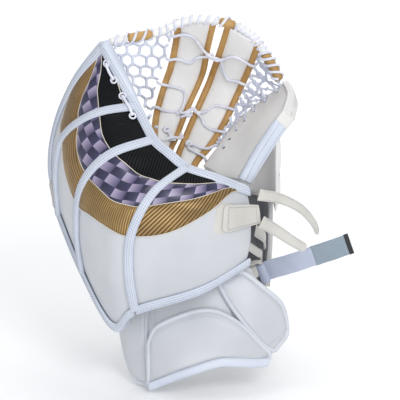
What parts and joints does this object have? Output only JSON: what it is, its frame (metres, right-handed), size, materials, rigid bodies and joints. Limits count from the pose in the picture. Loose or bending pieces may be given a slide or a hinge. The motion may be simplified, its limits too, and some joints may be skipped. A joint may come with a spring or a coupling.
{
  "type": "ice hockey catching glove",
  "caption": "Goalkeeper's catching glove with a laced two-strap pocket, ribbed thumb and heel shell, finger board, hinged cuff with flap, and hook-and-loop wrist strap.",
  "frame": {"origin": "middle of the wrist opening, where the hand enters", "axes": "+Z from cuff to pocket, along the forearm; -Y towards the shooter; +X towards the little finger"},
  "size_m": [0.3481, 0.2121, 0.4025],
  "materials": {
    "white_leather": "smooth synthetic leather, fine grain, semi-gloss",
    "pale_binding": "folded binding tape, stitched along both sides",
    "carbon_inlay": "dark woven film with fine ribs",
    "print_inlay": "printed film, chequer of indigo and lavender",
    "gold_inlay": "metallic gold film with fine diagonal ribs",
    "cream_leather": "smooth leather, slightly creased",
    "tan_edge": "tan-gold leather binding",
    "lace": "waxed braided lace",
    "strap_leather": "raw-edged strap leather",
    "grey_cover": "coated woven cloth over foam",
    "dark_stretch": "knitted stretch cloth",
    "foam": "cloth-faced foam",
    "webbing": "woven strap webbing",
    "hook_tape": "hook tape",
    "strap_tip": "moulded black tip"
  },
  "bodies": {
    "palm": {"heel_board": "white_leather", "heel_carbon_inlay": "carbon_inlay", "heel_print_inlay": "print_inlay", "heel_gold_inlay": "gold_inlay", "fold_rib": "pale_binding", "heel_rim_binding": "pale_binding", "heel_bottom_binding": "pale_binding", "finger_board": "cream_leather", "finger_edge_band": "pale_binding", "finger_cover": "grey_cover", "back_pad": "grey_cover", "thumb_gusset": "dark_stretch", "palm_pad": "foam", "pocket_strap_left": "cream_leather", "pocket_strap_left_edge_a": "tan_edge", "pocket_strap_left_edge_b": "tan_edge", "pocket_strap_right": "cream_leather", "pocket_strap_right_edge_a": "tan_edge", "pocket_strap_right_edge_b": "tan_edge", "pocket_lacing": "lace", "top_roll_thumb": "lace", "top_wrap_thumb": "gold_inlay", "top_roll_middle": "lace", "top_wrap_middle": "gold_inlay", "top_roll_finger": "lace", "top_wrap_finger": "gold_inlay", "thumb_net": "lace", "finger_lacing": "lace", "side_tab": "strap_leather", "hand_strap_upper": "strap_leather", "hand_strap_lower": "strap_leather", "strap_loop": "strap_leather", "loop_tab": "strap_leather"},
    "thumb": {"thumb_tip_board": "white_leather", "thumb_side_board": "white_leather", "thumb_base_board": "white_leather", "thumb_carbon_inlay": "carbon_inlay", "thumb_print_inlay": "print_inlay", "thumb_gold_inlay": "gold_inlay", "thumb_rib_upper": "pale_binding", "thumb_rib_lower": "pale_binding", "thumb_rim_binding": "pale_binding", "thumb_bottom_binding": "pale_binding", "thumb_side_binding": "pale_binding", "rim_lace_upper": "lace", "rim_lace_lower": "lace", "thumb_cover": "grey_cover", "thumb_tab": "strap_leather"},
    "cuff": {"cuff_panel": "white_leather", "cuff_left_wing": "white_leather", "cuff_right_wing": "white_leather"},
    "flap": {"cuff_flap": "white_leather", "cuff_flap_binding": "pale_binding"},
    "wrist_strap": {"wrist_strap": "webbing", "wrist_strap_hook": "hook_tape", "wrist_strap_tip": "strap_tip"},
    "upper_tongue": {"upper_tongue": "strap_leather"},
    "lower_tongue": {"lower_tongue": "strap_leather"}
  },
  "joints": [
    {"name": "thumb_fold", "type": "hinge", "parent": "palm", "child": "thumb", "pos_m": [-0.08, -0.1, 0.001], "axis": [0.3332, 0.1169, 0.9356], "range_deg": [-12, 0], "deforming": ["thumb_net", "top_roll_thumb", "top_wrap_thumb", "thumb_gusset"]},
    {"name": "cuff_hinge", "type": "hinge", "parent": "palm", "child": "cuff", "pos_m": [0.001, -0.035, 0.03], "axis": [1, 0, 0], "range_deg": [-5, 8], "stiffness_Nm_per_rad": 8},
    {"name": "flap_hinge", "type": "hinge", "parent": "cuff", "child": "flap", "pos_m": [0.002, -0.074, -0.007], "axis": [1, 0, 0], "range_deg": [-18, 0], "stiffness_Nm_per_rad": 2},
    {"name": "wrist_strap_swing", "type": "hinge", "parent": "palm", "child": "wrist_strap", "pos_m": [0.064, -0.006, 0.012], "axis": [-0.327, 0, 0.945], "range_deg": [-8, 34]},
    {"name": "upper_tongue_bend", "type": "hinge", "parent": "palm", "child": "upper_tongue", "pos_m": [0.062, -0.067, 0.12], "axis": [0, 0, 1], "range_deg": [-12, 15], "stiffness_Nm_per_rad": 0.2},
    {"name": "lower_tongue_bend", "type": "hinge", "parent": "palm", "child": "lower_tongue", "pos_m": [0.062, -0.069, 0.086], "axis": [0, 0, 1], "range_deg": [-12, 15], "stiffness_Nm_per_rad": 0.2}
  ]
}
